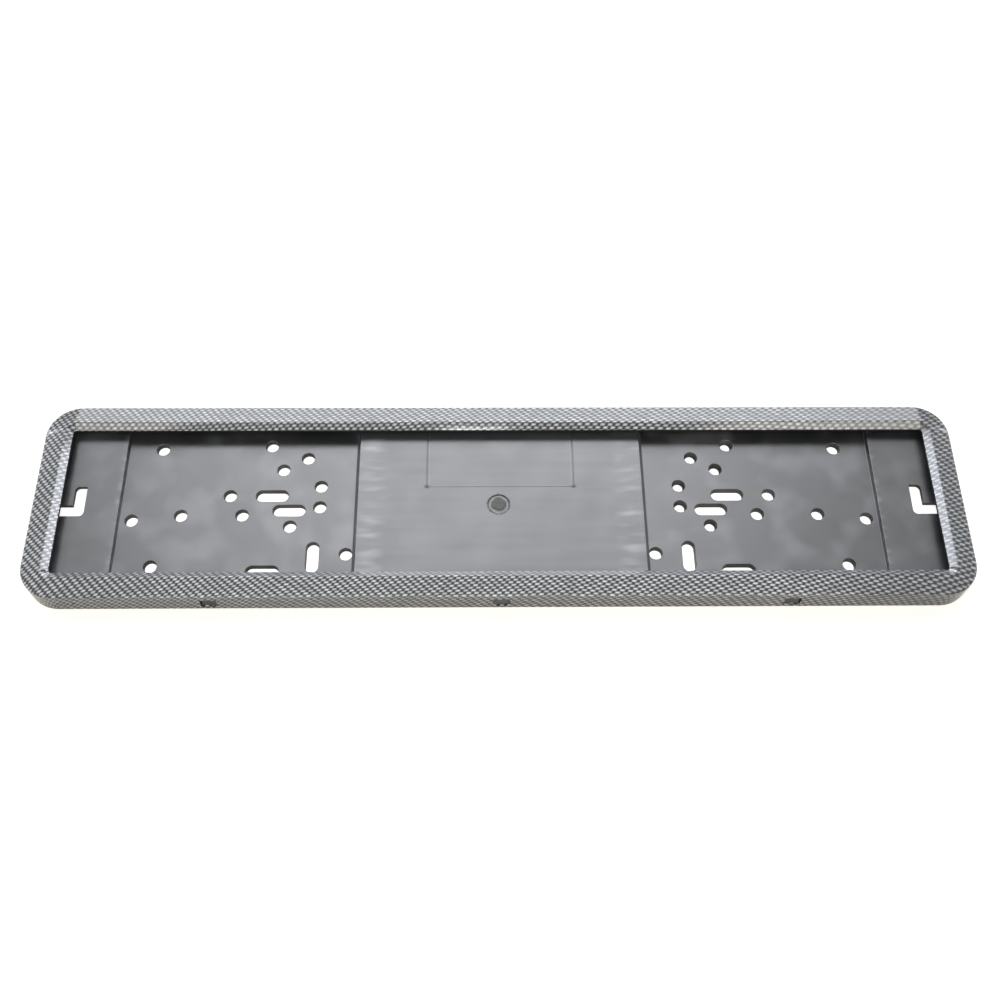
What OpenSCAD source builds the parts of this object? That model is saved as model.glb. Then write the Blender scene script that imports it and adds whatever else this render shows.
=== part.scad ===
// Number plate holder for a car: a black base plate that is screwed to the
// bumper, and a clip-on surround that traps the plate's margin.
// It lies on its back: +X along the plate, +Y towards the plate's top edge,
// +Z out of the plate's face, and z = 0 is the face against the bumper.

/* [Number plate] */
// Length of the plate that the holder takes
plate_l = 520; // [516:1:560]
// Height of the plate
plate_w = 110; // [106:1:130]
// Thickness of the plate with its embossing
plate_t = 1.1; // [0.8:0.1:1.8]
// Play between the plate and the rim at each end
end_play = 2.1; // [1.6:0.1:4]
// Play between the plate and the rim along its long edges
edge_play = 1.6; // [1.2:0.1:3]
// Height of the rim above the plate's face
plate_play = 0.4; // [0.2:0.1:0.8]

/* [Base plate] */
// Thickness of the moulded sheet
sheet_t = 2.8; // [2:0.1:3.2]
// Gap between the back of the screw zones and the bumper
back_gap = 2; // [1.6:0.1:2.8]
// Height of the raised panels above the screw zones
step_h = 3; // [2.4:0.1:3.4]
// Width of the slope between a panel and a screw zone
step_run = 0.6; // [0.4:0.1:1.2]
// Half the length of the centre panel
centre_half = 83; // [80:0.5:83.5]
// Length of the part of an end panel that shows
end_panel_l = 31.2; // [28:0.1:32.4]
// Thickness of the rim around the plate
rim_t = 2.4; // [1.8:0.1:3]
// Thickness of the ribs behind the sheet
rib_t = 1.6; // [1.2:0.1:1.8]

/* [Screw holes] */
// Diameter of the round screw holes
hole_d = 7.6; // [5:0.1:7.8]
// Width of the slotted screw holes
slot_w = 7.4; // [5:0.1:7.8]
// Length of the slotted screw holes from end to end
slot_l = 19; // [15:0.5:20]

/* [Details of the base] */
// Width of the L-shaped cut-outs in the end panels
ell_w = 7; // [5:0.1:8]
// Height of the upright leg of an L, from its foot
ell_h = 19.2; // [15:0.1:24]
// Distance from the lip to the upright leg of an L
ell_inset = 4.5; // [3:0.1:6]
// Distance from the centre line down to the lower side of an L
ell_drop = 7.2; // [5:0.1:9]
// Radius at the two outer corners of an L
ell_r = 2.8; // [1:0.1:3.5]
// Width of the shallow outline on the centre panel
label_l = 86; // [70:1:100]
// Distance from the centre line up to the lower side of that outline
label_y = 10.7; // [9:0.1:18]
// Width of that outline's groove
groove_w = 0.9; // [0.6:0.1:1.4]
// Depth of that outline's groove
groove_d = 0.3; // [0.2:0.05:0.6]
// Diameter of the round recess at the moulding gate
gate_d = 12.8; // [8:0.1:13]
// Depth of the recess at the moulding gate
gate_depth = 0.6; // [0.3:0.05:0.9]

/* [Surround] */
// Thickness of the surround's outer wall
wall_t = 2; // [1.6:0.1:2.6]
// Gap between the surround's wall and the rim
fit_gap = 0.5; // [0.3:0.05:0.8]
// Outer corner radius of the surround
corner_r = 20; // [16:0.5:24]
// Height of the surround's outer edge
edge_z = 15.8; // [14.6:0.1:17]
// Width and height of the small chamfer along that edge
edge_c = 0.8; // [0.4:0.1:1.2]
// Rise of the face from the outer edge to the crest
crest_rise = 1.7; // [1:0.1:2.4]
// Width of the face from the outer edge to the crest
face_w = 11.3; // [10:0.1:13]
// Width of the flat on the crest
crest_flat = 0.5; // [0.3:0.1:0.8]
// Width of the bevel between the crest and the lip
bevel_w = 3.8; // [3:0.1:5]
// Fall of the bevel from the crest to the lip
bevel_fall = 3; // [2:0.1:3.4]
// Thickness of the surround's top and bevel
roof_t = 1.9; // [1.6:0.1:2.2]
// Width of the blunt edge under the lip
lip_t = 0.6; // [0.4:0.1:1]
// Corner radius of the lip
lip_r = 1.5; // [1:0.1:3]
// Thickness of the webs inside the surround
web_t = 1.4; // [1:0.1:2]
// Number of webs in each long side
web_n = 8; // [4:1:10]
// Distance from the lip to the webs
web_inset = 3.5; // [3:0.1:4.5]

/* [Snap fit] */
// Number of hooks along each long side
hook_n = 3; // [2:1:3]
// Distance between neighbouring hooks
hook_pitch = 162.5; // [150:0.5:170]
// Width of a window in the surround's wall
window_w = 9.2; // [8:0.1:12]
// Height of a window
window_h = 9; // [8:0.1:9.6]
// Height of the strap under a window
strap_h = 2; // [1.6:0.1:2.6]
// Clearance between a hook and its window
hook_gap = 0.3; // [0.2:0.05:0.5]
// Distance from the surround's outer face in to a hook's nose
hook_sink = 1; // [0.3:0.1:1.2]
// Diameter of the two small draining holes in the lower wall
drain_d = 1.6; // [1.2:0.1:2.4]
// Distance of a draining hole from the surround's end
drain_inset = 30; // [26:0.5:40]
// Height of a draining hole above the bumper
drain_z = 7.5; // [5:0.1:9]

/* [Hidden] */
$fn = 64;
cut = 1;                                     // how far a cut runs past a face
tiny = 0.01;                                 // thickness of the slices that are joined

// Levels of the base plate
screw_z = back_gap + sheet_t;                // face of the screw zones
panel_z = screw_z + step_h;                  // face of the raised panels
rim_h = panel_z + plate_t + plate_play;      // top of the rim

// Outlines, given as half lengths and half heights
rim_in_l = plate_l / 2 + end_play;
rim_in_w = plate_w / 2 + edge_play;
base_l = rim_in_l + rim_t;
base_w = rim_in_w + rim_t;
hollow_l = base_l + fit_gap;
hollow_w = base_w + fit_gap;
out_l = hollow_l + wall_t;
out_w = hollow_w + wall_t;
top_w = face_w + crest_flat + bevel_w;       // width of the surround seen from above
lip_l = out_l - top_w;
lip_w = out_w - top_w;
crest_z = edge_z + crest_rise;
lip_z = crest_z - bevel_fall;
panel_x = lip_l - end_panel_l;               // where an end panel starts

// Screw holes on the right half, repeated on the left half
round_holes = [
  [200, 38.4], [135.5, 40.6], [113.6, 32.2], [127.6, 24.4], [104.9, 13.3],
  [157.4, 7.2], [104.9, -0.3], [212.9, -8.6], [184.8, -5.6], [149.5, -5.5],
  [121.5, -12.8], [88.5, -30.5], [198.5, -37.9]
];
upper_slot = [133, 7.2];
middle_slot = [122.6, -2.4];
lower_slot = [135.2, -41.3];
upright_slot = [107.4, -32.3];
gate_at = [-1.1, -0.2];                      // centre of the moulding gate
stub_d = 6.4;                                // what is left of the sprue

// Ribs behind the sheet, on lines that miss every hole
rib_rows = [18.9, -19.7];
rib_columns = [97, 171.7, 207];

// Half of a shape on the right, and its mirror image on the left
module both_ends() {
  children();
  mirror([1, 0, 0]) children();
}

// A shape at the lower edge, and its mirror image at the upper edge
module both_edges() {
  children();
  mirror([0, 1, 0]) children();
}

// Rounded rectangle with true arcs, given by half its length and height
module round_rect(l, w, r) {
  square([2 * (l - r), 2 * w], center = true);
  square([2 * l, 2 * (w - r)], center = true);
  for (x = [-1, 1], y = [-1, 1]) translate([x * (l - r), y * (w - r)]) circle(r = r);
}

// The same outline as four corner posts, for a hull
module corner_posts(l, w, r, h) {
  for (x = [-1, 1], y = [-1, 1]) translate([x * (l - r), y * (w - r), 0]) cylinder(r = r, h = h);
}

// The moulded sheet: one profile from end to end, stepped down at the screw zones
module sheet() {
  bend = sheet_t * tan(atan(step_h / step_run) / 2);   // shift of the bend at the back
  panel_back = panel_z - sheet_t;
  right = [
    [centre_half, panel_z], [centre_half + step_run, screw_z],
    [panel_x - step_run, screw_z], [panel_x, panel_z],
    [base_l + cut, panel_z], [base_l + cut, panel_back],
    [panel_x + bend, panel_back], [panel_x - step_run + bend, back_gap],
    [centre_half + step_run - bend, back_gap], [centre_half - bend, panel_back]
  ];
  left = [for (i = [len(right) - 1:-1:0]) [-right[i][0], right[i][1]]];
  intersection() {
    linear_extrude(height = rim_h) round_rect(base_l, base_w, corner_r - wall_t - fit_gap);
    rotate([90, 0, 0]) linear_extrude(height = 2 * base_w + cut, center = true) polygon(concat(right, left));
  }
}

// The rim that centres the plate inside the surround
module rim() {
  outer_r = corner_r - wall_t - fit_gap;
  linear_extrude(height = rim_h) difference() {
    round_rect(base_l, base_w, outer_r);
    round_rect(rim_in_l, rim_in_w, outer_r - rim_t);
  }
}

// One rib along Y at a given X
module cross_rib(x, h) {
  reach = rim_in_w + rim_t / 2;
  translate([x - rib_t / 2, -reach, 0]) cube([rib_t, 2 * reach, h]);
}

// Ribs behind the sheet, down to the bumper
module back_ribs() {
  low_h = screw_z - sheet_t / 2;
  high_h = panel_z - sheet_t / 2;
  reach = rim_in_l + rim_t / 2;
  for (i = [-1:1]) cross_rib(i * centre_half / 2, high_h);
  for (y = rib_rows) {
    translate([-reach, y - rib_t / 2, 0]) cube([2 * reach, rib_t, low_h]);
    translate([-centre_half, y - rib_t / 2, 0]) cube([2 * centre_half, rib_t, high_h]);
    both_ends() translate([panel_x, y - rib_t / 2, 0]) cube([reach - panel_x, rib_t, high_h]);
  }
  both_ends() {
    for (x = rib_columns) cross_rib(x, low_h);
    cross_rib(panel_x + end_panel_l / 3, high_h);
  }
}

// A slot cut right through the sheet, along X
module slot_cut(l, w) {
  translate([0, 0, -cut]) linear_extrude(height = panel_z + 2 * cut) {
    square([l - w, w], center = true);
    for (s = [-1, 1]) translate([s * (l - w) / 2, 0]) circle(d = w);
  }
}

module screw_holes() {
  both_ends() {
    for (p = round_holes) translate([p[0], p[1], -cut]) cylinder(d = hole_d, h = panel_z + 2 * cut);
    for (p = [upper_slot, middle_slot, lower_slot]) translate([p[0], p[1], 0])
      slot_cut(slot_l, slot_w);
    translate([upright_slot[0], upright_slot[1], 0]) rotate([0, 0, 90]) slot_cut(slot_l, slot_w);
  }
}

// L-shaped cut-out in the right end panel, its foot running under the surround
module ell_cut() {
  leg_x = lip_l - ell_inset - ell_w;
  foot_end = rim_in_l - rim_t;
  translate([0, 0, -cut]) linear_extrude(height = panel_z + 2 * cut) {
    translate([leg_x + ell_r, -ell_drop]) square([foot_end - leg_x - ell_r, ell_w]);
    translate([leg_x, ell_r - ell_drop]) square([ell_w, ell_h - 2 * ell_r]);
    translate([leg_x, -ell_drop + ell_h - ell_r - tiny]) square([ell_w - ell_r, ell_r + tiny]);
    translate([leg_x + ell_r, ell_r - ell_drop]) circle(r = ell_r);
    translate([leg_x + ell_w - ell_r, -ell_drop + ell_h - ell_r]) circle(r = ell_r);
  }
}

// Shallow outline that runs from the upper rim round the lower side
module label_groove() {
  translate([0, 0, panel_z - groove_d]) linear_extrude(height = groove_d + cut) {
    both_ends() translate([label_l / 2 - groove_w, label_y]) square([groove_w, rim_in_w - label_y]);
    translate([-label_l / 2, label_y]) square([label_l, groove_w]);
  }
}

// Round recess at the moulding gate, with the stub of the sprue in it
module gate_recess() {
  translate([gate_at[0], gate_at[1], panel_z - gate_depth]) difference() {
    cylinder(d = gate_d, h = gate_depth + cut);
    translate([0, 0, -cut]) cylinder(d = stub_d, h = gate_depth / 2 + cut);
  }
}

// Hook on the lower side of the rim, with a slope on top and a flat catch below
module hook() {
  w = window_w - 2 * hook_gap;
  reach = fit_gap + wall_t - hook_sink;
  catch_z = strap_h + hook_gap;
  nose_z = catch_z + reach;
  rotate([90, 0, 90]) linear_extrude(height = w, center = true) polygon([
    [-base_w + rim_t / 2, catch_z], [-base_w - reach, catch_z], [-base_w - reach, nose_z],
    [-base_w, rim_h - hook_gap], [-base_w + rim_t / 2, rim_h - hook_gap]
  ]);
}

module base_plate() {
  color("#26272a") {
    difference() {
      union() {
        sheet();
        rim();
        back_ribs();
      }
      screw_holes();
      both_ends() ell_cut();
      label_groove();
      gate_recess();
    }
    both_edges() for (i = [0:hook_n - 1]) translate([(i - (hook_n - 1) / 2) * hook_pitch, 0, 0]) hook();
  }
}

// Outer form of the surround: upright wall, chamfered edge and face up to the crest
module outer_form() {
  crest_l = out_l - face_w;
  crest_w = out_w - face_w;
  hull() {
    corner_posts(out_l, out_w, corner_r, edge_z - edge_c);
    translate([0, 0, edge_z - tiny]) corner_posts(out_l - edge_c, out_w - edge_c, corner_r - edge_c, tiny);
    translate([0, 0, crest_z - tiny]) corner_posts(crest_l, crest_w, lip_r + bevel_w, tiny, $fn = 32);
  }
}

// The bevel as a void that widens from the lip to the crest and on
module bevel_void() {
  over = 0.5;                                // how far the void goes on above the crest
  spread = (1 + over) * bevel_w;
  hull() {
    translate([0, 0, lip_z]) corner_posts(lip_l, lip_w, lip_r, tiny, $fn = 32);
    translate([0, 0, crest_z + over * bevel_fall])
      corner_posts(lip_l + spread, lip_w + spread, lip_r + spread, tiny, $fn = 32);
  }
}

module lip_void() {
  translate([0, 0, -cut]) hull() corner_posts(lip_l, lip_w, lip_r, lip_z + cut + tiny, $fn = 32);
}

// What the hollow leaves standing under the bevel, down to the lip's blunt edge
module lip_core() {
  hull() {
    translate([0, 0, lip_z - roof_t]) corner_posts(
      lip_l + lip_t, lip_w + lip_t, lip_r + lip_t, tiny, $fn = 32);
    translate([0, 0, crest_z - roof_t]) corner_posts(
      lip_l + bevel_w, lip_w + bevel_w, lip_r + bevel_w, tiny, $fn = 32);
  }
}

// Webs across the hollow, which seat the surround on the rim and hold the plate's margin
module webs() {
  seat_z = rim_h + hook_gap;
  pitch = 2 * lip_l / web_n;
  difference() {
    union() {
      for (i = [0:web_n - 1]) translate([(i - (web_n - 1) / 2) * pitch - web_t / 2, -out_w, seat_z])
        cube([web_t, 2 * out_w, crest_z]);
      for (i = [-1, 1]) translate([-out_l, i * lip_w / 2 - web_t / 2, seat_z])
        cube([2 * out_l, web_t, crest_z]);
    }
    linear_extrude(height = 2 * crest_z)
      round_rect(lip_l + web_inset, lip_w + web_inset, lip_r + web_inset);
  }
}

module hollow() {
  difference() {
    hull() {
      translate([0, 0, -cut]) corner_posts(hollow_l, hollow_w, corner_r - wall_t, edge_z - roof_t + cut);
      translate([0, 0, crest_z - roof_t - tiny]) corner_posts(
        out_l - face_w, out_w - face_w, lip_r + bevel_w, tiny, $fn = 32);
    }
    lip_core();
    webs();
  }
}

// Windows for the hooks in the lower wall, mirrored to the upper one
module windows() {
  both_edges() for (i = [0:hook_n - 1])
    translate([(i - (hook_n - 1) / 2) * hook_pitch - window_w / 2, -out_w - cut, strap_h])
      cube([window_w, wall_t + 2 * cut, window_h]);
}

module drains() {
  both_ends() translate([out_l - drain_inset, -out_w - cut, drain_z]) rotate([-90, 0, 0])
    cylinder(d = drain_d, h = wall_t + 2 * cut);
}

module surround() {
  color("#5c6064") difference() {
    outer_form();
    bevel_void();
    lip_void();
    hollow();
    windows();
    drains();
  }
}

base_plate();
surround();
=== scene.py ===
import math

import bmesh
import bpy
from mathutils import Matrix, Vector


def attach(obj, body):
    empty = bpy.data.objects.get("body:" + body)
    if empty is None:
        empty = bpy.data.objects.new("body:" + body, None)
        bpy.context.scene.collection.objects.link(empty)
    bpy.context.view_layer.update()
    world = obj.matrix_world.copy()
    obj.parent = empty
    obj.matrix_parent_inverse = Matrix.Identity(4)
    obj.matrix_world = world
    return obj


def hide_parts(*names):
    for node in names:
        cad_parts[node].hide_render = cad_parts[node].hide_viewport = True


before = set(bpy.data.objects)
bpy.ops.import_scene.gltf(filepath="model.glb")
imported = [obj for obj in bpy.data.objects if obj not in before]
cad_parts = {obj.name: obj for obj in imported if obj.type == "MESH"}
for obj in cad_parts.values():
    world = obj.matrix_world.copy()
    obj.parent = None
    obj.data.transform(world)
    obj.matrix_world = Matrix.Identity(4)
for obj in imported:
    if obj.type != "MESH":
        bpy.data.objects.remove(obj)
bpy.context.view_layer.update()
mm = 0.001                      # the frame is in metres
flatTurn = 0.5                  # an edge that turns by fewer degrees lies flat
squareTurn = 85.0               # and one that turns by more is cut square
print("packed holder loaded")


def hexToLinear(code):
    # sRGB hex to the linear red, green, blue and alpha that Blender works in
    out = []
    for i in (1, 3, 5):
        c = int(code[i:i + 2], 16) / 255.0
        out.append(c / 12.92 if c <= 0.04045 else ((c + 0.055) / 1.055) ** 2.4)
    return (*out, 1.0)


def addNode(tree, kind, settings=None, inputs=None):
    # inputs maps a socket's name or number to a value, or to the socket that feeds it
    node = tree.nodes.new("ShaderNode" + kind)
    for key, value in (settings or {}).items():
        setattr(node, key, value)
    for key, value in (inputs or {}).items():
        if isinstance(value, bpy.types.NodeSocket):
            tree.links.new(value, node.inputs[key])
        else:
            node.inputs[key].default_value = value
    return node


def newMaterial(name):
    material = bpy.data.materials.new(name)
    material.use_nodes = True
    material.node_tree.nodes.clear()
    return material, material.node_tree


def readPlace(tree):
    # The coordinates' node, and the place on the object in mm
    coords = addNode(tree, "TexCoord")
    place = addNode(tree, "VectorMath", {"operation": "SCALE"}, {
        0: coords.outputs["Object"], "Scale": 1.0 / mm}).outputs[0]
    return coords, place


def gapTo(tree, value, target):
    # How far a value is from its target, either way
    gap = addNode(tree, "Math", {"operation": "SUBTRACT"}, {0: value, 1: target}).outputs[0]
    return addNode(tree, "Math", {"operation": "ABSOLUTE"}, {0: gap}).outputs[0]


def markStraightRays(tree, path):
    # 1 where the eye looks directly, or by way of gloss or glass
    straight = path.outputs["Is Camera Ray"]
    for ray in ("Is Glossy Ray", "Is Transmission Ray"):
        straight = addNode(tree, "Math", {"operation": "MAXIMUM"}, {
            0: straight, 1: path.outputs[ray]}).outputs[0]
    return straight


def joinedCopy(nodeName):
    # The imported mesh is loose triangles, so they are joined up into whole faces first
    build = bmesh.new()
    build.from_mesh(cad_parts[nodeName].data)
    bmesh.ops.remove_doubles(build, verts=build.verts, dist=0.001 * mm)
    bmesh.ops.dissolve_limit(build, angle_limit=math.radians(flatTurn),
                             verts=build.verts, edges=build.edges)
    return build


def levelEdges(build, height, leastTurn=4.0):
    # Edges lying at one height where the surface turns
    slack = 0.01 * mm
    found = []
    for edge in build.edges:
        level = all(abs(v.co.z - height * mm) < slack for v in edge.verts)
        if level and len(edge.link_faces) == 2 and edge.calc_face_angle(0.0) > math.radians(leastTurn):
            found.append(edge)
    return found


def signedTurn(edge):
    # Degrees, above zero where the surface bulges
    return math.degrees(edge.calc_face_angle_signed(0.0))


def roundOff(build, edges, reach, segments=2):
    bmesh.ops.bevel(build, geom=edges, offset=reach * mm, offset_type="OFFSET", segments=segments,
                    profile=0.5, affect="EDGES", material=-1, clamp_overlap=True)


def finishPiece(build, name, nodeName, materials, weighted):
    # Corners stay sharp, and so does the edge of each level sheet unless its normals are weighted
    sharpTurn, levelNormal = 50.0, 0.9999
    for face in build.faces:
        face.smooth = True
    for edge in build.edges:
        turn = math.degrees(edge.calc_face_angle(math.pi))
        level = any(abs(face.normal.z) > levelNormal for face in edge.link_faces)
        edge.smooth = turn < sharpTurn and (weighted or not level or turn < flatTurn)
    mesh = bpy.data.meshes.new(name)
    build.to_mesh(mesh)
    build.free()
    for material in materials:
        mesh.materials.append(material)
    piece = bpy.data.objects.new(name, mesh)
    bpy.context.scene.collection.objects.link(piece)
    if weighted:
        weigh = piece.modifiers.new("flats_stay_flat", "WEIGHTED_NORMAL")
        weigh.mode = "FACE_AREA"
        weigh.keep_sharp = True
    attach(piece, "root")
    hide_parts(nodeName)
    return piece


# Carbon-look film on the surround: sizes in mm, tow and twill as printed on it
carbonFilm = {
    "darkInk": "#202224",
    "warpInk": "#35383b",       # dull tows lying the other way
    "lightInk": "#e6e8ea",
    "period": 4.4,              # from one light float to the next, along the row: three tows
    "rowPitch": 1.4,            # one tow
    "rowShift": 1.6,            # sideways step of the twill from row to row
    "floatLength": 0.52,        # share of the period that is light
    "floatHeight": 0.72,        # share of the row that is light
    "softEnds": 0.26,
    "softSides": 0.5,
    "slant": 0.16,              # lean of each float's ends
    "uneven": 0.34,             # how much one float differs from the next
    "arch": 0.0004,             # bow of the film from dipping, per mm squared
    "archFrom": (60.0, -60.0),  # none along the upper edge, most along the lower one
    "spread": 0.00025,          # how far it is drawn out to the right
    "driftLength": 70.0,        # slow wander of the film on the water
    "driftReach": (6.0, 5.0, 0.0),
    "wallTop": 15.8,
    "wallTilt": (0.4, 0.2),     # upward part of the normal where the face gives way to the wall
    "wallStretch": 0.6,         # film pulled long on its way down the wall
    "wallThin": 0.3,            # and ink lost there
    "backThin": 0.24,           # ink lost along the upper rail, which went into the water last
    "backFrom": (50.2, 53.0),
    "rightShading": 0.4,           # painted shade: the light floats print darker towards the ends, more on the right
    "leftShading": 0.16,
    "endsFrom": (150.0, 240.0),
    "innerTilt": (0.4, 0.55),   # backward part of the normal on the bevel that faces the upper edge
    "innerThin": 0.2,
    "innerVeil": "#8a8e93",     # paler grey laid over the print on that bevel, most at mid-length
    "veilMiddle": 0.5,
    "veilEnds": 0.24,
    "veilReach": (70.0, 190.0),
    "veilTilt": (0.4, 0.6),     # it stays off the wall
    "fibre": 0.12,              # real filaments are 0.007, drawn coarser to show
    "fibreLengthwise": 0.3,     # fineness along the tow, as a share of that across it
    "fibreDepth": 0.12,         # how much darker the gaps between them are
    "inkRoughness": 0.45,
    "inkGloss": 0.05,           # the shine is the lacquer's
    "ior": 1.5,
    "lacquerRoughness": 0.08,
    "orangePeel": 2.6,          # ripple of the sprayed lacquer
    "peelDepth": 0.02,
    "peelStrength": 0.35,
}


def makeCarbonFilm():
    # Hydrographic film on black ABS under clear lacquer: grey woven floats below a deep gloss
    c = carbonFilm
    material, tree = newMaterial("dipped_carbon_film")
    coords, place = readPlace(tree)
    x, y, z = addNode(tree, "SeparateXYZ", None, {0: place}).outputs
    nx, ny, nz = addNode(tree, "SeparateXYZ", None, {0: coords.outputs["Normal"]}).outputs

    # The film runs on down the wall, so depth below the edge counts as distance outward
    steep = addNode(tree, "MapRange", {"interpolation_type": "SMOOTHSTEP"}, {
        "Value": nz, "From Min": c["wallTilt"][0], "From Max": c["wallTilt"][1]}).outputs[0]
    depth = addNode(tree, "Math", {"operation": "SUBTRACT"}, {0: c["wallTop"], 1: z}).outputs[0]
    depth = addNode(tree, "Math", {"operation": "MAXIMUM"}, {0: depth, 1: 0.0}).outputs[0]
    for share in (c["wallStretch"], steep):
        depth = addNode(tree, "Math", {"operation": "MULTIPLY"}, {0: depth, 1: share}).outputs[0]
    fx = addNode(tree, "Math", {"operation": "MULTIPLY_ADD"}, {0: nx, 1: depth, 2: x}).outputs[0]
    fy = addNode(tree, "Math", {"operation": "MULTIPLY_ADD"}, {0: ny, 1: depth, 2: y}).outputs[0]

    # Slow drift on the water, with the bow and the stretch of the dip
    drift = addNode(tree, "TexNoise", None, {
        "Vector": place, "Scale": 1.0 / c["driftLength"], "Detail": 1.0}).outputs["Color"]
    drift = addNode(tree, "VectorMath", {"operation": "MULTIPLY"}, {0: drift, 1: c["driftReach"]}).outputs[0]
    driftX, driftY = addNode(tree, "SeparateXYZ", None, {0: drift}).outputs[:2]
    square = addNode(tree, "Math", {"operation": "MULTIPLY"}, {0: fx, 1: fx}).outputs[0]
    nearness = addNode(tree, "MapRange", None, {
        "Value": fy, "From Min": c["archFrom"][0], "From Max": c["archFrom"][1]}).outputs[0]
    bow = addNode(tree, "Math", {"operation": "MULTIPLY"}, {0: square, 1: nearness}).outputs[0]
    fy = addNode(tree, "Math", {"operation": "MULTIPLY_ADD"}, {0: bow, 1: c["arch"], 2: fy}).outputs[0]
    fy = addNode(tree, "Math", {"operation": "ADD"}, {0: fy, 1: driftY}).outputs[0]
    fx = addNode(tree, "Math", {"operation": "MULTIPLY_ADD"}, {0: square, 1: -c["spread"], 2: fx}).outputs[0]
    fx = addNode(tree, "Math", {"operation": "ADD"}, {0: fx, 1: driftX}).outputs[0]

    # Twill: rows of light floats, each row stepped sideways from the one before
    rowAt = addNode(tree, "Math", {"operation": "DIVIDE"}, {0: fy, 1: c["rowPitch"]}).outputs[0]
    row = addNode(tree, "Math", {"operation": "FLOOR"}, {0: rowAt}).outputs[0]
    inRow = addNode(tree, "Math", {"operation": "FRACT"}, {0: rowAt}).outputs[0]
    offRow = addNode(tree, "Math", {"operation": "SUBTRACT"}, {0: inRow, 1: 0.5}).outputs[0]
    along = addNode(tree, "Math", {"operation": "MULTIPLY_ADD"}, {0: row, 1: c["rowShift"], 2: fx}).outputs[0]
    along = addNode(tree, "Math", {"operation": "DIVIDE"}, {0: along, 1: c["period"]}).outputs[0]
    along = addNode(tree, "Math", {"operation": "MULTIPLY_ADD"}, {
        0: offRow, 1: -c["slant"], 2: along}).outputs[0]
    column = addNode(tree, "Math", {"operation": "FLOOR"}, {0: along}).outputs[0]
    inColumn = addNode(tree, "Math", {"operation": "FRACT"}, {0: along}).outputs[0]
    lengthwise = addNode(tree, "MapRange", {"interpolation_type": "SMOOTHSTEP"}, {
        "Value": gapTo(tree, inColumn, 0.5), "From Min": (c["floatLength"] + c["softEnds"]) / 2,
        "From Max": (c["floatLength"] - c["softEnds"]) / 2}).outputs[0]
    crosswise = addNode(tree, "MapRange", {"interpolation_type": "SMOOTHSTEP"}, {
        "Value": gapTo(tree, inRow, 0.5), "From Min": (c["floatHeight"] + c["softSides"]) / 2,
        "From Max": (c["floatHeight"] - c["softSides"]) / 2}).outputs[0]

    # Each float prints a little lighter or darker, and fine filaments run along it
    cell = addNode(tree, "CombineXYZ", None, {0: column, 1: row}).outputs[0]
    chance = addNode(tree, "TexWhiteNoise", {"noise_dimensions": "2D"}, {"Vector": cell}).outputs["Value"]
    strength = addNode(tree, "MapRange", None, {
        "Value": chance, "To Min": 1.0 - c["uneven"], "To Max": 1.0}).outputs[0]
    fine = 1.0 / c["fibre"]
    strand = addNode(tree, "Mapping", None, {
        "Vector": place, "Scale": (c["fibreLengthwise"] * fine, fine, fine)}).outputs[0]
    filaments = addNode(tree, "TexNoise", None, {
        "Vector": strand, "Scale": 1.0, "Detail": 1.0}).outputs["Fac"]
    filaments = addNode(tree, "MapRange", None, {
        "Value": filaments, "From Min": 0.3, "From Max": 0.7,
        "To Min": 1.0 - c["fibreDepth"], "To Max": 1.0}).outputs[0]
    tow = lengthwise
    for share in (crosswise, strength, filaments):
        tow = addNode(tree, "Math", {"operation": "MULTIPLY"}, {0: tow, 1: share}).outputs[0]

    # Where the light ink is thin, and painted shade darkening it towards the ends
    begin, end = c["endsFrom"]
    thinAndShadedPlaces = ((steep, 0.0, 1.0, c["wallThin"]), (y, *c["backFrom"], c["backThin"]),
                  (x, begin, end, c["rightShading"]), (x, -begin, -end, c["leftShading"]),
                  (ny, *c["innerTilt"], c["innerThin"]))
    for where, begin, end, loss in thinAndShadedPlaces:
        kept = addNode(tree, "MapRange", {"interpolation_type": "SMOOTHSTEP"}, {
            "Value": where, "From Min": begin, "From Max": end,
            "To Min": 1.0, "To Max": 1.0 - loss}).outputs[0]
        tow = addNode(tree, "Math", {"operation": "MULTIPLY"}, {0: tow, 1: kept}).outputs[0]
    under = addNode(tree, "Mix", {"data_type": "RGBA"}, {
        "Factor": crosswise, 6: hexToLinear(c["darkInk"]), 7: hexToLinear(c["warpInk"])}).outputs[2]
    printed = addNode(tree, "Mix", {"data_type": "RGBA"}, {
        "Factor": tow, 6: under, 7: hexToLinear(c["lightInk"])}).outputs[2]

    # Paler grey laid over the print on the inner bevel
    aside = addNode(tree, "Math", {"operation": "ABSOLUTE"}, {0: x}).outputs[0]
    veil = addNode(tree, "MapRange", {"interpolation_type": "SMOOTHSTEP"}, {
        "Value": aside, "From Min": c["veilReach"][0], "From Max": c["veilReach"][1],
        "To Min": c["veilMiddle"], "To Max": c["veilEnds"]}).outputs[0]
    for lean, (begin, end) in ((ny, c["innerTilt"]), (nz, c["veilTilt"])):
        onBevel = addNode(tree, "MapRange", None, {
            "Value": lean, "From Min": begin, "From Max": end}).outputs[0]
        veil = addNode(tree, "Math", {"operation": "MULTIPLY"}, {0: veil, 1: onBevel}).outputs[0]
    printed = addNode(tree, "Mix", {"data_type": "RGBA"}, {
        "Factor": veil, 6: printed, 7: hexToLinear(c["innerVeil"])}).outputs[2]

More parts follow.
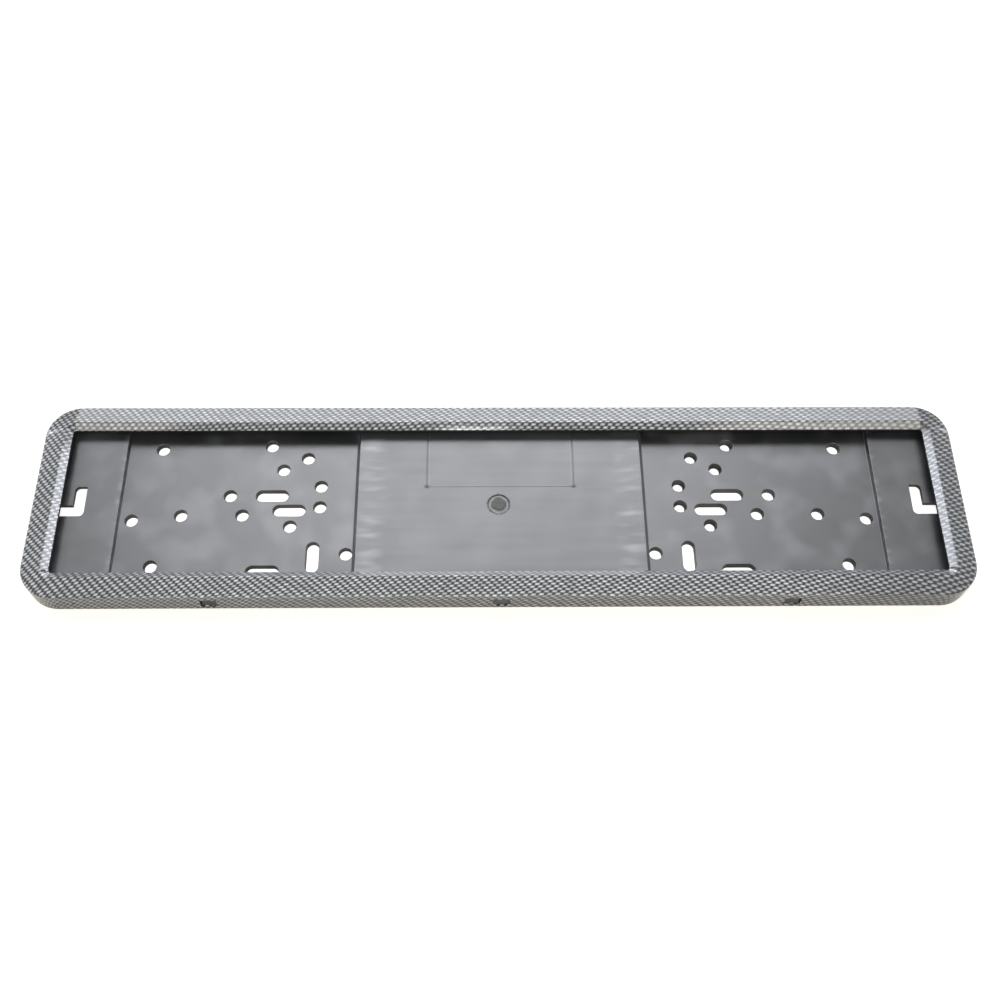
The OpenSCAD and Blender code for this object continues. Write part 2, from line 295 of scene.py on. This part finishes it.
    ripple = addNode(tree, "TexNoise", None, {
        "Vector": place, "Scale": 1.0 / c["orangePeel"], "Detail": 1.0}).outputs["Fac"]
    peel = addNode(tree, "Bump", None, {
        "Height": ripple, "Strength": c["peelStrength"], "Distance": c["peelDepth"] * mm}).outputs[0]
    surface = addNode(tree, "BsdfPrincipled", None, {
        "Base Color": printed, "Roughness": c["inkRoughness"], "IOR": c["ior"],
        "Specular IOR Level": c["inkGloss"], "Coat Weight": 1.0, "Coat Roughness": c["lacquerRoughness"],
        "Coat IOR": c["ior"], "Coat Normal": peel}).outputs[0]
    addNode(tree, "OutputMaterial", None, {"Surface": surface})
    return material


# Black plastic inside the surround, bare of film: sizes in mm
bareShell = {
    "colour": "#161718",
    "roughness": 0.55,
    "roughnessSpread": 0.06,
    "ior": 1.53,
    "gloss": 0.35,
    "grain": 0.5,               # spark-eroded grain of the mould
    "grainDepth": 0.04,
    "grainStrength": 0.25,
}


def makeBareShell():
    # Injection-moulded ABS off a lightly spark-eroded core: dull black, faintly pebbled
    b = bareShell
    material, tree = newMaterial("moulded_black_abs_core_side")
    place = readPlace(tree)[1]
    grain = addNode(tree, "TexNoise", None, {
        "Vector": place, "Scale": 1.0 / b["grain"], "Detail": 2.0}).outputs["Fac"]
    pebble = addNode(tree, "Bump", None, {
        "Height": grain, "Strength": b["grainStrength"], "Distance": b["grainDepth"] * mm}).outputs[0]
    roughness = addNode(tree, "MapRange", None, {
        "Value": grain, "From Min": 0.3, "From Max": 0.7,
        "To Min": b["roughness"] - b["roughnessSpread"],
        "To Max": b["roughness"] + b["roughnessSpread"]}).outputs[0]
    surface = addNode(tree, "BsdfPrincipled", None, {
        "Base Color": hexToLinear(b["colour"]), "Roughness": roughness, "IOR": b["ior"],
        "Specular IOR Level": b["gloss"], "Normal": pebble}).outputs[0]
    addNode(tree, "OutputMaterial", None, {"Surface": surface})
    return material


# Clip-on surround: heights of its edges in the CAD part, and how far each is rounded, mm
surroundShell = {
    "crestHeight": 17.5,
    "crestRounding": 0.18,
    "lipHeight": 14.5,
    "lipRounding": 0.12,
    "edgeHeight": 15.8,
    "chamferFoot": 15.0,
    "edgeRounding": 0.15,
    "halfLength": 267.0,
    "halfHeight": 61.5,
    "cornerRadius": 20.0,
    "filmedTilt": 0.25,         # faces turned up more than this take the film
    "wallTilt": 0.9,            # and so do faces turned up less than this,
    "wallMargin": 0.5,          # this near the outline
}


def makeSurround():
    s = surroundShell
    build = joinedCopy("surround")
    roundOff(build, levelEdges(build, s["crestHeight"]), s["crestRounding"])
    roundOff(build, levelEdges(build, s["lipHeight"]), s["lipRounding"])
    outer = levelEdges(build, s["edgeHeight"]) + levelEdges(build, s["chamferFoot"])
    roundOff(build, outer, s["edgeRounding"])
    build.normal_update()
    for face in build.faces:
        middle = face.calc_center_median() / mm
        dx = max(abs(middle.x) - (s["halfLength"] - s["cornerRadius"]), 0.0)
        dy = max(abs(middle.y) - (s["halfHeight"] - s["cornerRadius"]), 0.0)
        onOutline = math.hypot(dx, dy) > s["cornerRadius"] - s["wallMargin"]
        onWall = onOutline and abs(face.normal.z) < s["wallTilt"]
        face.material_index = 0 if face.normal.z > s["filmedTilt"] or onWall else 1
    finishes = [makeCarbonFilm(), makeBareShell()]
    return finishPiece(build, "filmed_surround", "surround", finishes, True)


# Mounting plate: heights of its edges in the CAD part, roundings and finish, mm.
# From and Soft name the two values between which a thing sets in
mountingPlate = {
    "panelHeight": 7.8,
    "webHeight": 4.8,
    "stepRounding": 0.35,
    "stepLength": 40.0,         # only the long steps are rounded
    "holeRounding": 0.35,
    "colour": "#232426",
    "haze": "#424347",          # release agent and handling, seen as paler clouds
    "hazeFrom": (0.3, 0.7),
    "hazeBeside": 0.3,          # share of it left beside the centre panel
    "roughness": 0.315,
    "roughnessSpread": 0.03,
    "ior": 1.54,
    "grain": 0.4,               # satin texture of the mould
    "grainDepth": 0.04,
    "grainStrength": 0.1,
    "flowLength": 60.0,         # streaks left where the melt ran to the ends
    "flowWidth": 5.0,
    "flowReach": (100.0, 90.0),     # they show on the centre panel only
    "flowDepth": 0.45,
    "cloud": 16.0,              # blotches where the thin screw zones cooled unevenly
    "paleEdges": ((220.2, 4.0, 0.4), (76.0, 12.0, 0.7)),    # near a panel's edge, reach, strength; the first is a painted highlight along the end panels' edges
    "smudgeAndHighlight": "#8b8c91",        # pale grey: whitening where the melt met the centre panel's step, and a painted highlight along the end panels' edges
    "smudgeSize": (22.0, 4.8),
    "smudgeFrom": (0.4, 0.75),
    "smudgeLeast": 0.03,
    "fog": 0.27,                # the same whitening in faint clouds beside the centre panel
    "fogSize": 19.0,
    "fogFrom": (0.42, 0.75),
    "fogOnEnds": 0.5,           # share of it on the end panels
    "paintedHighlight": "#77736c",         # painted highlight, pale, for the outline's edges
    # painted shade: dark for the outline's sides and corners, the step's foot and the gate's recess edge
    "paintedShade": "#0e0e0f",
    "labelHalf": 43.0,          # outer edge of the shallow outline on the centre panel
    "labelFoot": 11.6,          # upper side of its lower groove
    "labelSoft": (0.8, 0.2),
    "labelShade": 0.42,
    "labelBelow": (-1.4, -0.8),     # the sides end at the groove
    # painted light on the groove's shaded wall along the outline's foot
    "footSoft": (0.3, 0.2),
    "footInset": 0.5,
    "shineInset": 1.3,          # painted highlight: a pale line inside each side
    "shineSoft": (0.5, 0.1),
    "shine": 0.25,
    "cornerSoft": (1.9, 0.6),
    "stepFoot": 84.3,           # painted shade where the centre panel steps down
    "stepSoft": (0.75, 0.15),
    "stepShade": 0.85,
    "gateCentre": (-1.1, -0.2, 0.0),
    "gateEdge": 6.2,            # painted shade: a dark ring round the gate, at its recess edge
    "gateEdgeSoft": (0.85, 0.1),
    "gateLip": 0.1,             # half the width over which the gate's ring begins
    "gateRagged": 2.2,
    "gateStub": 4.5,
    "gateStubSoft": 0.6,
    "blush": "#494c4b",
    "stub": "#2e312b",
    "stubStain": "#141613",
    "stubTear": (0.22, 0.6, 0.6),   # drawn out sideways as the sprue tore off
    "rimReach": 59.1,           # the hooks stand out beyond this, dull and dusty
    "rimSoft": 0.2,
    # what each of these places adds to the roughness
    "duller": {"gate": 0.05, "stub": 0.32, "gateRing": 0.3, "label": 0.28, "step": 0.6, "hook": 0.4},
}


def makeSatinAbs():
    # Injection-moulded ABS, satin side: black with a soft wide sheen, flow streaks and gate blush
    b = mountingPlate
    material, tree = newMaterial("moulded_satin_abs")
    place = readPlace(tree)[1]
    x, y, z = addNode(tree, "SeparateXYZ", None, {0: place}).outputs
    aside = addNode(tree, "Math", {"operation": "ABSOLUTE"}, {0: x}).outputs[0]
    outward = addNode(tree, "Math", {"operation": "ABSOLUTE"}, {0: y}).outputs[0]
    grain = addNode(tree, "TexNoise", None, {
        "Vector": place, "Scale": 1.0 / b["grain"], "Detail": 2.0}).outputs["Fac"]
    satin = addNode(tree, "Bump", None, {
        "Height": grain, "Strength": b["grainStrength"], "Distance": b["grainDepth"] * mm}).outputs[0]

    # Haze: streaks along the flow on the centre panel, clouds beside it
    raised = addNode(tree, "MapRange", None, {
        "Value": z, "From Min": b["webHeight"] + 1, "From Max": b["panelHeight"] - 1}).outputs[0]
    central = addNode(tree, "MapRange", None, {
        "Value": aside, "From Min": b["flowReach"][0], "From Max": b["flowReach"][1]}).outputs[0]
    streaky = addNode(tree, "Math", {"operation": "MULTIPLY"}, {0: central, 1: raised}).outputs[0]
    streaks = addNode(tree, "Mapping", None, {
        "Vector": place,
        "Scale": (1.0 / b["flowLength"], 1.0 / b["flowWidth"], 1.0 / b["flowWidth"])}).outputs[0]
    flow = addNode(tree, "TexNoise", None, {"Vector": streaks, "Scale": 1.0, "Detail": 0.0}).outputs["Fac"]
    flow = addNode(tree, "MapRange", None, {
        "Value": flow, "To Min": 0.5 - b["flowDepth"] / 2, "To Max": 0.5 + b["flowDepth"] / 2}).outputs[0]
    clouds = addNode(tree, "TexNoise", None, {
        "Vector": place, "Scale": 1.0 / b["cloud"], "Detail": 1.5, "Roughness": 0.5}).outputs["Fac"]
    blotchy = addNode(tree, "Mix", None, {"Factor": streaky, 2: clouds, 3: flow}).outputs[0]
    hazy = addNode(tree, "MapRange", None, {
        "Value": blotchy, "From Min": b["hazeFrom"][0], "From Max": b["hazeFrom"][1]}).outputs[0]
    share = addNode(tree, "MapRange", None, {
        "Value": streaky, "To Min": b["hazeBeside"], "To Max": 1.0}).outputs[0]
    hazy = addNode(tree, "Math", {"operation": "MULTIPLY"}, {0: hazy, 1: share}).outputs[0]
    colour = addNode(tree, "Mix", {"data_type": "RGBA"}, {
        "Factor": hazy, 6: hexToLinear(b["colour"]), 7: hexToLinear(b["haze"])}).outputs[2]

    # Whitening: fog beside the centre panel and smudges along its edges, and a painted highlight along the
    # end panels' edges
    fog = addNode(tree, "TexNoise", None, {
        "Vector": place, "Scale": 1.0 / b["fogSize"], "Detail": 1.0, "Roughness": 0.45}).outputs["Fac"]
    fog = addNode(tree, "MapRange", {"interpolation_type": "SMOOTHSTEP"}, {
        "Value": fog, "From Min": b["fogFrom"][0], "From Max": b["fogFrom"][1],
        "To Max": b["fog"]}).outputs[0]
    beside = addNode(tree, "Math", {"operation": "SUBTRACT"}, {0: 1.0, 1: streaky}).outputs[0]
    thinner = addNode(tree, "MapRange", None, {
        "Value": raised, "To Min": 1.0, "To Max": b["fogOnEnds"]}).outputs[0]
    for share in (beside, thinner):
        fog = addNode(tree, "Math", {"operation": "MULTIPLY"}, {0: fog, 1: share}).outputs[0]
    smear = addNode(tree, "Mapping", None, {
        "Vector": place, "Scale": (1.0 / b["smudgeSize"][0], 1.0 / b["smudgeSize"][1], 1.0)}).outputs[0]
    smear = addNode(tree, "TexNoise", None, {"Vector": smear, "Scale": 1.0, "Detail": 1.0}).outputs["Fac"]
    smear = addNode(tree, "MapRange", {"interpolation_type": "SMOOTHSTEP"}, {
        "Value": smear, "From Min": b["smudgeFrom"][0], "From Max": b["smudgeFrom"][1],
        "To Min": b["smudgeLeast"]}).outputs[0]
    smear = addNode(tree, "Math", {"operation": "MULTIPLY"}, {0: smear, 1: raised}).outputs[0]
    whitenedAndHighlit = [fog]
    for start, reach, most in b["paleEdges"]:
        pale = addNode(tree, "MapRange", {"interpolation_type": "SMOOTHSTEP"}, {
            "Value": gapTo(tree, aside, start), "From Min": reach, "From Max": 0.0,
            "To Max": most}).outputs[0]
        whitenedAndHighlit.append(addNode(tree, "Math", {"operation": "MULTIPLY"}, {0: pale, 1: smear}).outputs[0])
    for mask in whitenedAndHighlit:
        colour = addNode(tree, "Mix", {"data_type": "RGBA"}, {
            "Factor": mask, 6: colour, 7: hexToLinear(b["smudgeAndHighlight"])}).outputs[2]

    # Shallow outline on the centre panel: painted light on the shaded wall along its foot, a painted
    # highlight inside each side, painted shade along its sides and at its lower corners
    offSide = gapTo(tree, aside, b["labelHalf"])
    onSide = addNode(tree, "MapRange", None, {
        "Value": offSide, "From Min": b["labelSoft"][0], "From Max": b["labelSoft"][1],
        "To Max": b["labelShade"]}).outputs[0]
    aboveFoot = addNode(tree, "Math", {"operation": "SUBTRACT"}, {0: y, 1: b["labelFoot"]}).outputs[0]
    above = addNode(tree, "MapRange", None, {
        "Value": aboveFoot, "From Min": b["labelBelow"][0], "From Max": b["labelBelow"][1]}).outputs[0]
    onSide = addNode(tree, "Math", {"operation": "MULTIPLY"}, {0: onSide, 1: above}).outputs[0]
    offFoot = addNode(tree, "Math", {"operation": "ABSOLUTE"}, {0: aboveFoot}).outputs[0]
    onFoot = addNode(tree, "MapRange", None, {
        "Value": offFoot, "From Min": b["footSoft"][0], "From Max": b["footSoft"][1]}).outputs[0]
    inside = addNode(tree, "MapRange", None, {
        "Value": aside, "From Min": b["labelHalf"], "From Max": b["labelHalf"] - b["footInset"]}).outputs[0]
    onFoot = addNode(tree, "Math", {"operation": "MULTIPLY"}, {0: onFoot, 1: inside}).outputs[0]
    onShine = addNode(tree, "MapRange", None, {
        "Value": gapTo(tree, aside, b["labelHalf"] - b["shineInset"]),
        "From Min": b["shineSoft"][0], "From Max": b["shineSoft"][1], "To Max": b["shine"]}).outputs[0]
    onShine = addNode(tree, "Math", {"operation": "MULTIPLY"}, {0: onShine, 1: above}).outputs[0]
    corner = addNode(tree, "CombineXYZ", None, {0: offSide, 1: offFoot}).outputs[0]
    corner = addNode(tree, "VectorMath", {"operation": "LENGTH"}, {0: corner}).outputs["Value"]
    onCorner = addNode(tree, "MapRange", {"interpolation_type": "SMOOTHSTEP"}, {
        "Value": corner, "From Min": b["cornerSoft"][0], "From Max": b["cornerSoft"][1]}).outputs[0]
    onSide = addNode(tree, "Math", {"operation": "MAXIMUM"}, {0: onSide, 1: onCorner}).outputs[0]
    onStep = addNode(tree, "MapRange", {"interpolation_type": "SMOOTHSTEP"}, {
        "Value": gapTo(tree, aside, b["stepFoot"]), "From Min": b["stepSoft"][0],
        "From Max": b["stepSoft"][1], "To Max": b["stepShade"]}).outputs[0]

    # Distance from the gate in the middle of the plate, a little ragged
    fromGate = addNode(tree, "VectorMath", {"operation": "SUBTRACT"}, {
        0: place, 1: b["gateCentre"]}).outputs[0]
    fromGate = addNode(tree, "VectorMath", {"operation": "MULTIPLY"}, {
        0: fromGate, 1: (1.0, 1.0, 0.0)}).outputs[0]
    gateAway = addNode(tree, "VectorMath", {"operation": "LENGTH"}, {0: fromGate}).outputs["Value"]
    ragged = addNode(tree, "TexNoise", None, {"Vector": place, "Scale": 0.5, "Detail": 2.0}).outputs["Fac"]
    ragged = addNode(tree, "Math", {"operation": "SUBTRACT"}, {0: ragged, 1: 0.5}).outputs[0]
    gateAway = addNode(tree, "Math", {"operation": "MULTIPLY_ADD"}, {
        0: ragged, 1: b["gateRagged"], 2: gateAway}).outputs[0]
    onGateRing = addNode(tree, "MapRange", {"interpolation_type": "SMOOTHSTEP"}, {
        "Value": gapTo(tree, gateAway, b["gateEdge"]),
        "From Min": b["gateEdgeSoft"][0], "From Max": b["gateEdgeSoft"][1]}).outputs[0]
    inGate = addNode(tree, "MapRange", None, {
        "Value": gateAway, "From Min": b["gateEdge"] + b["gateLip"],
        "From Max": b["gateEdge"] - b["gateLip"]}).outputs[0]
    onStub = addNode(tree, "MapRange", {"interpolation_type": "SMOOTHSTEP"}, {
        "Value": gateAway, "From Min": b["gateStub"] + b["gateStubSoft"],
        "From Max": b["gateStub"] - b["gateStubSoft"]}).outputs[0]
    torn = addNode(tree, "Mapping", None, {"Vector": place, "Scale": b["stubTear"]}).outputs[0]
    torn = addNode(tree, "TexNoise", None, {"Vector": torn, "Scale": 1.0, "Detail": 3.0}).outputs["Fac"]
    stain = addNode(tree, "MapRange", {"interpolation_type": "SMOOTHSTEP"}, {
        "Value": torn, "From Min": 0.4, "From Max": 0.6}).outputs[0]
    stub = addNode(tree, "Mix", {"data_type": "RGBA"}, {
        "Factor": stain, 6: hexToLinear(b["stubStain"]), 7: hexToLinear(b["stub"])}).outputs[2]

    # Painted light and shade over the haze, then the gate: a dull ring, the stained stub and a ring of
    # painted shade at its recess edge
    layers = ((onShine, hexToLinear(b["paintedHighlight"])), (onFoot, hexToLinear(b["paintedHighlight"])),
              (onSide, hexToLinear(b["paintedShade"])), (onStep, hexToLinear(b["paintedShade"])),
              (inGate, hexToLinear(b["blush"])), (onStub, stub), (onGateRing, hexToLinear(b["paintedShade"])))
    for mask, over in layers:
        colour = addNode(tree, "Mix", {"data_type": "RGBA"}, {"Factor": mask, 6: colour, 7: over}).outputs[2]

    roughness = addNode(tree, "MapRange", {"interpolation_type": "SMOOTHSTEP"}, {
        "Value": clouds, "From Min": 0.2, "From Max": 0.8,
        "To Min": b["roughness"] - b["roughnessSpread"],
        "To Max": b["roughness"] + b["roughnessSpread"]}).outputs[0]
    onHook = addNode(tree, "MapRange", None, {
        "Value": outward, "From Min": b["rimReach"], "From Max": b["rimReach"] + b["rimSoft"]}).outputs[0]
    masks = {"gate": inGate, "stub": onStub, "gateRing": onGateRing, "label": onSide, "step": onStep, "hook": onHook}
    for part, mask in masks.items():
        roughness = addNode(tree, "Math", {"operation": "MULTIPLY_ADD"}, {
            0: mask, 1: b["duller"][part], 2: roughness}).outputs[0]
    surface = addNode(tree, "BsdfPrincipled", None, {
        "Base Color": colour, "Roughness": roughness, "IOR": b["ior"], "Specular IOR Level": 1.0,
        "Normal": satin}).outputs[0]
    addNode(tree, "OutputMaterial", None, {"Surface": surface})
    return material


# Collars moulded behind the screw holes, mm: they make the holes' walls as deep as they look
collars = {
    "backHeight": 2.0,          # back of the sheet in the screw zones
    "leftFoot": 0.9,
    "rightFoot": 0.3,
    "wall": 1.4,
    "taper": 0.15,
    "tightReach": (95.0, 142.0),    # round holes here narrow more towards the bumper
    "tightTaper": 0.85,
    "roundSize": 8.0,           # a slot is longer than this
}


def takeLoop(waiting):
    # One closed rim out of the edges that wait, the leftmost first so that the order never changes
    edge = min(waiting, key=lambda e: (round(e.verts[0].co.x, 6), round(e.verts[0].co.y, 6), e.index))
    loop, reached = [], [edge]
    waiting.discard(edge)
    while reached:
        loop.append(reached.pop())
        for vert in loop[-1].verts:
            for other in vert.link_edges:
                if other in waiting:
                    waiting.discard(other)
                    reached.append(other)
    return loop


def addCollars(build):
    # Each hole's rim at the back is drawn down, out and up again into a collar
    c = collars
    waiting = {e for e in levelEdges(build, c["backHeight"], squareTurn) if signedTurn(e) > 0.0}
    while waiting:
        loop = takeLoop(waiting)
        spots = [v.co.copy() for e in loop for v in e.verts]
        low = Vector(tuple(min(p[i] for p in spots) for i in range(3)))
        high = Vector(tuple(max(p[i] for p in spots) for i in range(3)))
        middle, size = (low + high) / 2, (high - low) / mm
        spine = Vector((max(size.x - size.y, 0.0), max(size.y - size.x, 0.0), 0.0)) * mm / 2
        isRound = max(size.x, size.y) < c["roundSize"]
        isTight = isRound and c["tightReach"][0] < middle.x / mm < c["tightReach"][1]
        taper = c["tightTaper"] if isTight else c["taper"]
        foot = c["leftFoot"] if middle.x < 0 else c["rightFoot"]
        for height, spread in ((foot, -taper), (foot, c["wall"]), (c["backHeight"], c["wall"])):
            drawn = bmesh.ops.extrude_edge_only(build, edges=loop)["geom"]
            loop = [item for item in drawn if isinstance(item, bmesh.types.BMEdge)]
            radius = (min(size.x, size.y) / 2 + spread) * mm
            for vert in {v for e in loop for v in e.verts}:
                away = vert.co - middle
                near = Vector((min(max(away.x, -spine.x), spine.x), min(max(away.y, -spine.y), spine.y), 0.0))
                out = away - near
                out.z = 0.0
                vert.co = middle + near + out.normalized() * radius
                vert.co.z = height * mm


def makeMountingPlate():
    b = mountingPlate
    build = joinedCopy("base_plate")
    addCollars(build)
    bmesh.ops.recalc_face_normals(build, faces=build.faces)
    steps = []
    for height, turn in ((b["panelHeight"], 1), (b["webHeight"], -1)):
        for edge in levelEdges(build, height):
            if edge.calc_length() > b["stepLength"] * mm and 0 < turn * signedTurn(edge) < squareTurn:
                steps.append(edge)
    holes = [e for e in levelEdges(build, b["webHeight"], squareTurn) if signedTurn(e) > 0.0]
    roundOff(build, holes, b["holeRounding"])
    roundOff(build, [e for e in steps if e.is_valid], b["stepRounding"], 3)
    build.normal_update()
    return finishPiece(build, "satin_mounting_plate", "base_plate", [makeSatinAbs()], False)


# White table top under the holder, metres
table = {
    "side": 6.0,
    "drop": 0.3 * mm,           # just below the rim's foot
    "colour": "#e2ded4",
    "tint": "#fffefb",
    "white": 0.6,               # what it adds of its own, to the eye
    "through": 0.93,            # and where it is seen through the holes
    "throughFrom": 0.0067,      # fades out from here to the outline
    "lampReach": (0.3, 1.5),    # beyond the lamps' pool it adds more
    "mirrored": 0.9,            # in the gloss of the holder, out in the open
    "covered": 0.06,            # and there under the holder, in its own shade
    "shadeFrom": -0.0085,       # from inside the outline
    "shadeTo": 0.034,           # to this far outside it
    "coverLength": 0.247,       # the holder's outline, less its corners' radius
    "coverHeight": 0.0415,
    "coverCorner": 0.02,
}


def makeTable():
    # Matt white laminate: a pale ground that keeps the holder's soft shadow
    t = table
    mesh = bpy.data.meshes.new("table")
    build = bmesh.new()
    bmesh.ops.create_grid(build, x_segments=1, y_segments=1, size=t["side"] / 2)
    bmesh.ops.translate(build, verts=build.verts, vec=(0, 0, -t["drop"]))
    build.to_mesh(mesh)
    build.free()
    piece = bpy.data.objects.new("table", mesh)
    bpy.context.scene.collection.objects.link(piece)
    material, tree = newMaterial("matt_white_laminate")
    top = addNode(tree, "BsdfDiffuse", None, {"Color": hexToLinear(t["colour"])}).outputs[0]

    # Distance from the holder's outline, and from it how white each place looks
    coords = addNode(tree, "TexCoord")
    apart = addNode(tree, "VectorMath", {"operation": "ABSOLUTE"}, {0: coords.outputs["Object"]}).outputs[0]
    apart = addNode(tree, "VectorMath", {"operation": "SUBTRACT"}, {
        0: apart, 1: (t["coverLength"], t["coverHeight"], 1.0)}).outputs[0]
    apart = addNode(tree, "VectorMath", {"operation": "MAXIMUM"}, {0: apart, 1: (0.0, 0.0, 0.0)}).outputs[0]
    apart = addNode(tree, "VectorMath", {"operation": "LENGTH"}, {0: apart}).outputs["Value"]
    mirrored = addNode(tree, "MapRange", {"interpolation_type": "SMOOTHSTEP"}, {
        "Value": apart, "From Min": t["coverCorner"] + t["shadeFrom"],
        "From Max": t["coverCorner"] + t["shadeTo"],
        "To Min": t["covered"], "To Max": t["mirrored"]}).outputs[0]
    direct = addNode(tree, "MapRange", None, {
        "Value": apart, "From Min": t["throughFrom"], "From Max": t["coverCorner"],
        "To Min": t["through"], "To Max": t["white"]}).outputs[0]
    distant = addNode(tree, "MapRange", None, {
        "Value": apart, "From Min": t["lampReach"][0], "From Max": t["lampReach"][1],
        "To Max": 1.0 - t["white"]}).outputs[0]
    direct = addNode(tree, "Math", {"operation": "ADD"}, {0: direct, 1: distant}).outputs[0]
    path = addNode(tree, "LightPath")
    level = addNode(tree, "Mix", None, {
        "Factor": path.outputs["Is Camera Ray"], 2: mirrored, 3: direct}).outputs[0]
    glow = addNode(tree, "Emission", None, {"Color": hexToLinear(t["tint"]), "Strength": level}).outputs[0]
    seen = addNode(tree, "MixShader", None, {0: markStraightRays(tree, path), 2: glow}).outputs[0]
    both = addNode(tree, "AddShader", None, {0: top, 1: seen}).outputs[0]
    behind = addNode(tree, "NewGeometry").outputs["Backfacing"]     # clear from below, to show the ribs
    clear = addNode(tree, "BsdfTransparent").outputs[0]
    oneSided = addNode(tree, "MixShader", None, {0: behind, 1: both, 2: clear}).outputs[0]
    addNode(tree, "OutputMaterial", None, {"Surface": oneSided})
    mesh.materials.append(material)


# Studio: big soft lamps, so that each face of the surround mirrors one of them or none.
# toward is from the back round to the right, then up, in degrees; away and size are in metres
studio = {
    "room": 0.12,               # light from all round
    "lamps": {
        "overhead_back": {"toward": (-3.6, 58.8), "away": 3.0, "size": (1.9, 1.15),
                          "radiance": 4.35, "colour": "#f6f9ff"},
        "low_back": {"toward": (1.7, 39.5), "away": 3.0, "size": (2.8, 0.5),
                     "radiance": 4.6, "colour": "#f6f9ff"},
        "horizon_back": {"toward": (-4.0, 11.0), "away": 3.0, "size": (1.6, 0.5),
                         "radiance": 13.0, "colour": "#ffffff"},
        "right_bank": {"toward": (59.0, 30.8), "away": 3.0, "size": (0.6, 0.55),
                       "radiance": 10.4, "colour": "#f0f5ff"},
        "left_bank": {"toward": (-58.0, 32.4), "away": 3.0, "size": (0.6, 0.55),
                      "radiance": 10.9, "colour": "#f0f5ff"},
        "front_right": {"toward": (137.0, 42.0), "away": 3.0, "size": (2.0, 0.5),
                        "radiance": 5.0, "colour": "#fff8ec"},
        "front_left": {"toward": (-130.0, 42.0), "away": 3.0, "size": (2.0, 0.5),
                       "radiance": 4.0, "colour": "#fff8ec"},
        "front_top": {"toward": (-165.0, 70.0), "away": 0.9, "size": (0.48, 0.24),
                      "radiance": 4.4, "colour": "#ffffff"},
        "front_low": {"toward": (180.0, 24.0), "away": 3.0, "size": (2.2, 0.6),
                      "radiance": 2.5, "colour": "#ffffff"},
        "front_spot": {"toward": (-179.2, 44.3), "away": 3.0, "size": (0.18, 0.08),
                       "radiance": 30.0, "colour": "#ffffff"},
    },
}


def makeStudio():
    for name, lamp in studio["lamps"].items():
        data = bpy.data.lights.new(name, "AREA")
        data.shape = "RECTANGLE"
        data.size, data.size_y = lamp["size"]
        data.energy = lamp["radiance"] * math.pi * data.size * data.size_y
        data.color = hexToLinear(lamp["colour"])[:3]
        piece = bpy.data.objects.new(name, data)
        turn, rise = (math.radians(v) for v in lamp["toward"])
        place = lamp["away"] * Vector((math.sin(turn) * math.cos(rise), math.cos(turn) * math.cos(rise),
                                       math.sin(rise)))
        piece.location = place
        piece.rotation_euler = place.to_track_quat("Z", "Y").to_euler()
        bpy.context.scene.collection.objects.link(piece)
    world = bpy.data.worlds.new("studio")
    world.use_nodes = True
    tree = world.node_tree
    tree.nodes.clear()
    path = addNode(tree, "LightPath")
    room = addNode(tree, "Background", None, {"Color": (1, 1, 1, 1), "Strength": studio["room"]}).outputs[0]
    white = addNode(tree, "Background", None, {"Color": (1, 1, 1, 1), "Strength": 1.0}).outputs[0]
    seen = addNode(tree, "MixShader", None, {0: markStraightRays(tree, path), 1: room, 2: white}).outputs[0]
    addNode(tree, "OutputWorld", None, {"Surface": seen})
    bpy.context.scene.world = world


# Camera: where the picture was taken from, metres and degrees
view = {
    "place": (-0.01125, -0.32126, 0.61869),
    "pitch": 62.061,            # below the horizon
    "heading": 1.936,           # to the right
    "roll": -1.554,
    "focalPixels": 1190.1,      # for a picture as wide as this
    "pictureWidth": 1000.0,
}


def makeCamera():
    data = bpy.data.cameras.new("camera")
    data.sensor_width = 36.0
    data.lens = view["focalPixels"] / view["pictureWidth"] * data.sensor_width
    data.clip_start = 0.01
    camera = bpy.data.objects.new("camera", data)
    turn = (Matrix.Rotation(math.radians(-view["heading"]), 4, "Z")
            @ Matrix.Rotation(math.radians(90 - view["pitch"]), 4, "X")
            @ Matrix.Rotation(math.radians(-view["roll"]), 4, "Z"))
    camera.matrix_world = Matrix.Translation(view["place"]) @ turn
    bpy.context.scene.collection.objects.link(camera)
    bpy.context.scene.camera = camera


makeCamera()
print("camera placed")
makeSurround()
print("surround rounded and filmed")
makeMountingPlate()
print("mounting plate finished")
makeTable()
makeStudio()
bpy.context.scene.view_settings.view_transform = "Standard"
print("studio lit")
